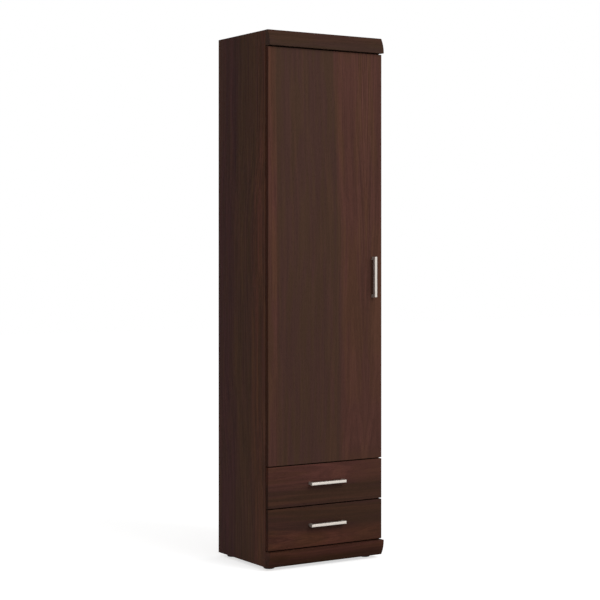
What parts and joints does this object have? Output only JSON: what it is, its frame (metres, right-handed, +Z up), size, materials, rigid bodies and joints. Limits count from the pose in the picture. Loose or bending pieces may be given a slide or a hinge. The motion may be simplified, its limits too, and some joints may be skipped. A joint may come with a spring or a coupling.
{
  "type": "chifforobe",
  "caption": "Tall narrow free-standing cabinet in dark mahogany melamine: a hanging space behind a left-hung door, drawers below, bowed cornice and plinth, bar handles.",
  "frame": {"origin": "on the floor, under the middle of the whole object's box", "axes": "+X to the right seen from the front, the front faces -Y, +Z up"},
  "size_m": [0.51, 0.395, 1.994],
  "materials": {
    "mahogany_upright": "satin melamine, upright grain",
    "mahogany_level": "satin melamine, level grain",
    "mahogany_inside": "satin melamine",
    "hardboard": "printed hardboard",
    "drawer_board": "paper-wrapped board",
    "raw_wood": "unfinished",
    "handle_metal": "satin",
    "zinc_steel": "zinc plated",
    "rail_chrome": "bright",
    "runner_enamel": "cream enamel",
    "roller_nylon": "satin",
    "foot_plastic": "matte",
    "strip_plastic": "matte",
    "bumper_rubber": "clear, soft"
  },
  "bodies": {
    "carcass": {"left_side_panel": "mahogany_upright", "right_side_panel": "mahogany_upright", "cornice": "mahogany_level", "plinth": "mahogany_level", "top_panel": "mahogany_inside", "hat_shelf": "mahogany_inside", "divider_panel": "mahogany_inside", "bottom_panel": "mahogany_inside", "rear_plinth_rail": "mahogany_inside", "upper_back_panel": "hardboard", "lower_back_panel": "hardboard", "corner_blocks": "raw_wood", "wooden_dowels": "raw_wood", "hinge_arms": "zinc_steel", "hinge_plates": "zinc_steel", "hinge_arm_screws": "zinc_steel", "wood_screws": "zinc_steel", "cam_bolts": "zinc_steel", "cam_nuts": "zinc_steel", "back_panel_nails": "zinc_steel", "rail_brackets": "zinc_steel", "clothes_rail": "rail_chrome", "upper_left_cabinet_runner": "runner_enamel", "upper_right_cabinet_runner": "runner_enamel", "lower_left_cabinet_runner": "runner_enamel", "lower_right_cabinet_runner": "runner_enamel", "feet": "foot_plastic", "back_joint_strip": "strip_plastic"},
    "door": {"door_panel": "mahogany_upright", "door_handle": "handle_metal", "door_handle_screws": "zinc_steel", "hinge_cups": "zinc_steel", "hinge_pins": "zinc_steel", "hinge_cup_screws": "zinc_steel", "door_bumpers": "bumper_rubber"},
    "upper_drawer": {"upper_drawer_front": "mahogany_level", "upper_drawer_left_side": "drawer_board", "upper_drawer_right_side": "drawer_board", "upper_drawer_back": "drawer_board", "upper_drawer_bottom": "hardboard", "upper_drawer_handle": "handle_metal", "upper_drawer_left_runner": "runner_enamel", "upper_drawer_right_runner": "runner_enamel", "upper_drawer_screws": "zinc_steel", "upper_drawer_dowels": "raw_wood"},
    "upper_front_rollers": {"upper_front_rollers": "roller_nylon"},
    "upper_rear_rollers": {"upper_rear_rollers": "roller_nylon"},
    "lower_drawer": {"lower_drawer_front": "mahogany_level", "lower_drawer_left_side": "drawer_board", "lower_drawer_right_side": "drawer_board", "lower_drawer_back": "drawer_board", "lower_drawer_bottom": "hardboard", "lower_drawer_handle": "handle_metal", "lower_drawer_left_runner": "runner_enamel", "lower_drawer_right_runner": "runner_enamel", "lower_drawer_screws": "zinc_steel", "lower_drawer_dowels": "raw_wood"},
    "lower_front_rollers": {"lower_front_rollers": "roller_nylon"},
    "lower_rear_rollers": {"lower_rear_rollers": "roller_nylon"}
  },
  "joints": [
    {"name": "door_swing", "type": "hinge", "parent": "carcass", "child": "door", "pos_m": [-0.2465, -0.1675, 1.159], "axis": [0, 0, -1], "range_deg": [0, 95]},
    {"name": "upper_drawer_slide", "type": "slide", "parent": "carcass", "child": "upper_drawer", "axis": [0, -1, 0], "range_m": [0, 0.22]},
    {"name": "lower_drawer_slide", "type": "slide", "parent": "carcass", "child": "lower_drawer", "axis": [0, -1, 0], "range_m": [0, 0.22]},
    {"name": "upper_front_rollers_spin", "type": "hinge", "parent": "carcass", "child": "upper_front_rollers", "pos_m": [0, -0.1425, 0.2625], "axis": [1, 0, 0], "range_deg": [0, 1500]},
    {"name": "upper_rear_rollers_spin", "type": "hinge", "parent": "upper_drawer", "child": "upper_rear_rollers", "pos_m": [0, 0.1335, 0.2608], "axis": [1, 0, 0], "range_deg": [0, 1500]},
    {"name": "lower_front_rollers_spin", "type": "hinge", "parent": "carcass", "child": "lower_front_rollers", "pos_m": [0, -0.1425, 0.107], "axis": [1, 0, 0], "range_deg": [0, 1500]},
    {"name": "lower_rear_rollers_spin", "type": "hinge", "parent": "lower_drawer", "child": "lower_rear_rollers", "pos_m": [0, 0.1335, 0.1053], "axis": [1, 0, 0], "range_deg": [0, 1500]}
  ],
  "couplings": [
    {"joint": "upper_front_rollers_spin", "follows": "upper_drawer_slide", "rad_per_m": 117.65},
    {"joint": "upper_rear_rollers_spin", "follows": "upper_drawer_slide", "rad_per_m": 117.65},
    {"joint": "lower_front_rollers_spin", "follows": "lower_drawer_slide", "rad_per_m": 117.65},
    {"joint": "lower_rear_rollers_spin", "follows": "lower_drawer_slide", "rad_per_m": 117.65}
  ]
}
